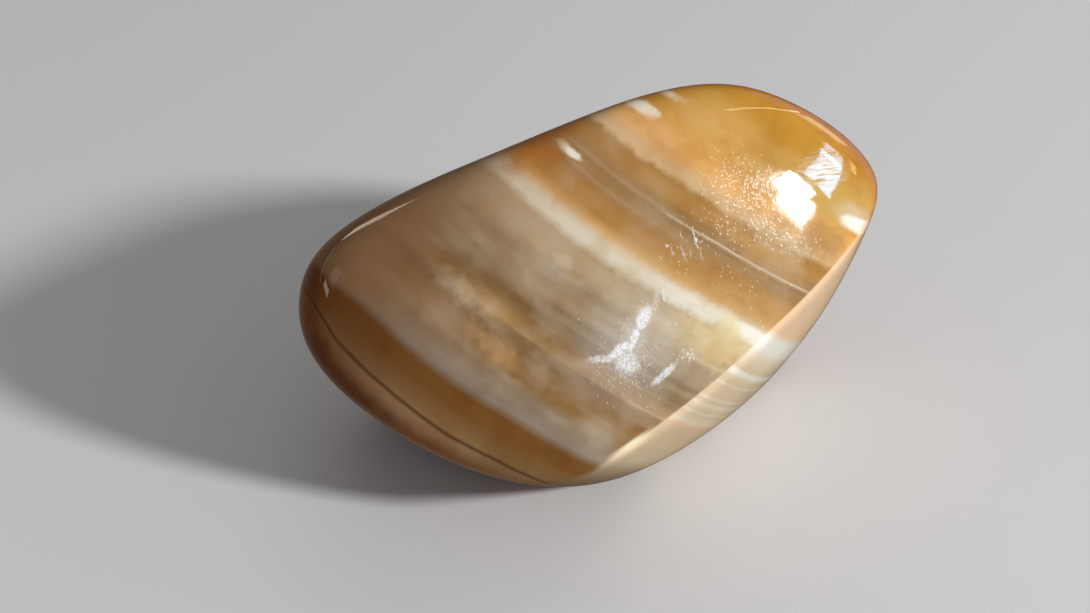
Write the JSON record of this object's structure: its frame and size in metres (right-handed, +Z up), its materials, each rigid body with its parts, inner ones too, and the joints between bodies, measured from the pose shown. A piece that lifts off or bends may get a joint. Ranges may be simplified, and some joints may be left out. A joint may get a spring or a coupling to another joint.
{
  "type": "tumbled stone",
  "caption": "Tumbled agate pebble with a broad polished face, a narrow bevelled strip below it and curved honey, cream and brown bands; lies on a small worn flat",
  "frame": {"origin": "middle of the bounding box in X and Y, on the surface that the pebble lies on", "axes": "+X along the pebble's length; -Y towards the viewer's side, which the big polished face looks to, leaning back; +Z up"},
  "size_m": [0.0382, 0.0238, 0.0235],
  "materials": {
    "agate": "polished, slightly translucent, fine scratches"
  },
  "bodies": {
    "root": {"stone": "agate"}
  },
  "joints": []
}
